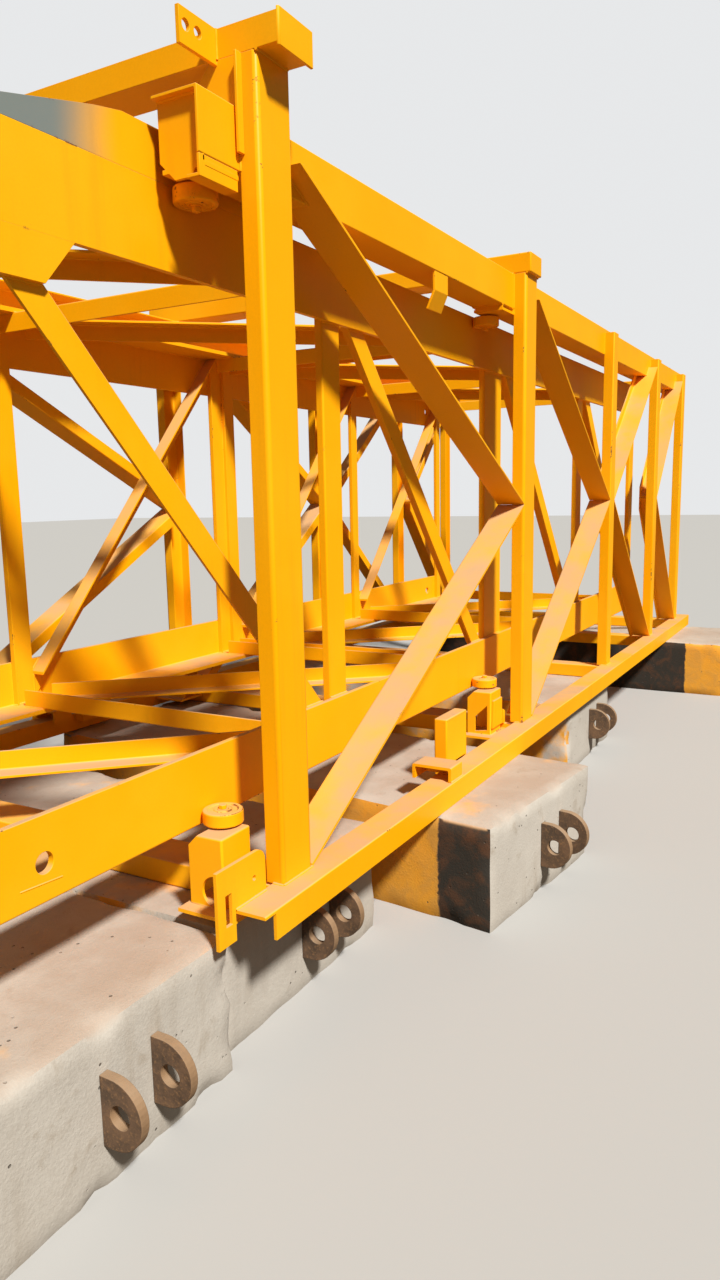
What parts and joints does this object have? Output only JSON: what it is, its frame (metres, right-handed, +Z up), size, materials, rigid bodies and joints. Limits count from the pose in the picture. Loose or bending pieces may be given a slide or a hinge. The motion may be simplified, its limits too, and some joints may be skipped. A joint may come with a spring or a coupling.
{
  "type": "tower crane climbing frame with nested mast sections",
  "caption": "Yellow open climbing cage of a tower crane lying on concrete ballast blocks, with lattice mast sections nested inside it on guide rollers.",
  "frame": {"origin": "middle of the footprint of the whole object, on the ground under the ballast blocks", "axes": "+X along the cage and the mast away from the end where the mast stands out, +Y across the cage toward its far side, +Z up"},
  "size_m": [7.795, 3.65, 2.916],
  "materials": {
    "yellow_paint": "satin",
    "concrete": "matte",
    "rusty_steel": "matte"
  },
  "bodies": {
    "cage": {"near_top_chord": "yellow_paint", "far_top_chord": "yellow_paint", "near_bottom_chord": "yellow_paint", "far_bottom_chord": "yellow_paint", "near_end_post": "yellow_paint", "near_main_post": "yellow_paint", "near_light_posts": "yellow_paint", "far_end_post": "yellow_paint", "far_main_post": "yellow_paint", "far_light_posts": "yellow_paint", "near_upper_braces": "yellow_paint", "near_lower_braces": "yellow_paint", "far_upper_braces": "yellow_paint", "far_lower_braces": "yellow_paint", "front_cap_beam": "yellow_paint", "middle_cap_beam": "yellow_paint", "rear_cross_beam": "yellow_paint", "bottom_cross_beams": "yellow_paint", "near_brackets": "yellow_paint", "far_brackets": "yellow_paint", "cap_lugs": "yellow_paint", "connection_plates": "yellow_paint", "chord_fittings": "yellow_paint", "ballast_block_1": "concrete", "ballast_block_2": "concrete", "ballast_block_3": "concrete", "ballast_block_4": "concrete", "ballast_block_5": "concrete", "lifting_eyes": "rusty_steel"},
    "mast": {"mast_upper_near_leg": "yellow_paint", "mast_lower_near_leg": "yellow_paint", "mast_upper_far_leg": "yellow_paint", "mast_lower_far_leg": "yellow_paint", "mast_side_posts": "yellow_paint", "mast_side_diagonals": "yellow_paint", "mast_cross_bars": "yellow_paint", "mast_flat_diagonals": "yellow_paint", "mast_gussets": "yellow_paint", "mast_sloped_plates": "yellow_paint"},
    "near_upper_roller_1": {"near_upper_roller_1": "yellow_paint"},
    "near_lower_roller_1": {"near_lower_roller_1": "yellow_paint"},
    "near_upper_roller_2": {"near_upper_roller_2": "yellow_paint"},
    "near_lower_roller_2": {"near_lower_roller_2": "yellow_paint"},
    "far_upper_roller_1": {"far_upper_roller_1": "yellow_paint"},
    "far_lower_roller_1": {"far_lower_roller_1": "yellow_paint"},
    "far_upper_roller_2": {"far_upper_roller_2": "yellow_paint"},
    "far_lower_roller_2": {"far_lower_roller_2": "yellow_paint"}
  },
  "joints": [
    {"name": "mast_slide", "type": "slide", "parent": "cage", "child": "mast", "axis": [1, 0, 0], "range_m": [-1.5, 0.5]},
    {"name": "near_upper_roller_1_spin", "type": "hinge", "parent": "cage", "child": "near_upper_roller_1", "pos_m": [-2.7925, -0.9475, 2.489], "axis": [0, 0, 1], "continuous": true},
    {"name": "near_lower_roller_1_spin", "type": "hinge", "parent": "cage", "child": "near_lower_roller_1", "pos_m": [-2.7925, -0.9475, 0.727], "axis": [0, 0, 1], "continuous": true},
    {"name": "near_upper_roller_2_spin", "type": "hinge", "parent": "cage", "child": "near_upper_roller_2", "pos_m": [-0.6425, -0.9475, 2.489], "axis": [0, 0, 1], "continuous": true},
    {"name": "near_lower_roller_2_spin", "type": "hinge", "parent": "cage", "child": "near_lower_roller_2", "pos_m": [-0.6425, -0.9475, 0.727], "axis": [0, 0, 1], "continuous": true},
    {"name": "far_upper_roller_1_spin", "type": "hinge", "parent": "cage", "child": "far_upper_roller_1", "pos_m": [-2.7925, 0.9995, 2.489], "axis": [0, 0, 1], "continuous": true},
    {"name": "far_lower_roller_1_spin", "type": "hinge", "parent": "cage", "child": "far_lower_roller_1", "pos_m": [-2.7925, 0.9995, 0.727], "axis": [0, 0, 1], "continuous": true},
    {"name": "far_upper_roller_2_spin", "type": "hinge", "parent": "cage", "child": "far_upper_roller_2", "pos_m": [-0.6425, 0.9995, 2.489], "axis": [0, 0, 1], "continuous": true},
    {"name": "far_lower_roller_2_spin", "type": "hinge", "parent": "cage", "child": "far_lower_roller_2", "pos_m": [-0.6425, 0.9995, 0.727], "axis": [0, 0, 1], "continuous": true}
  ]
}
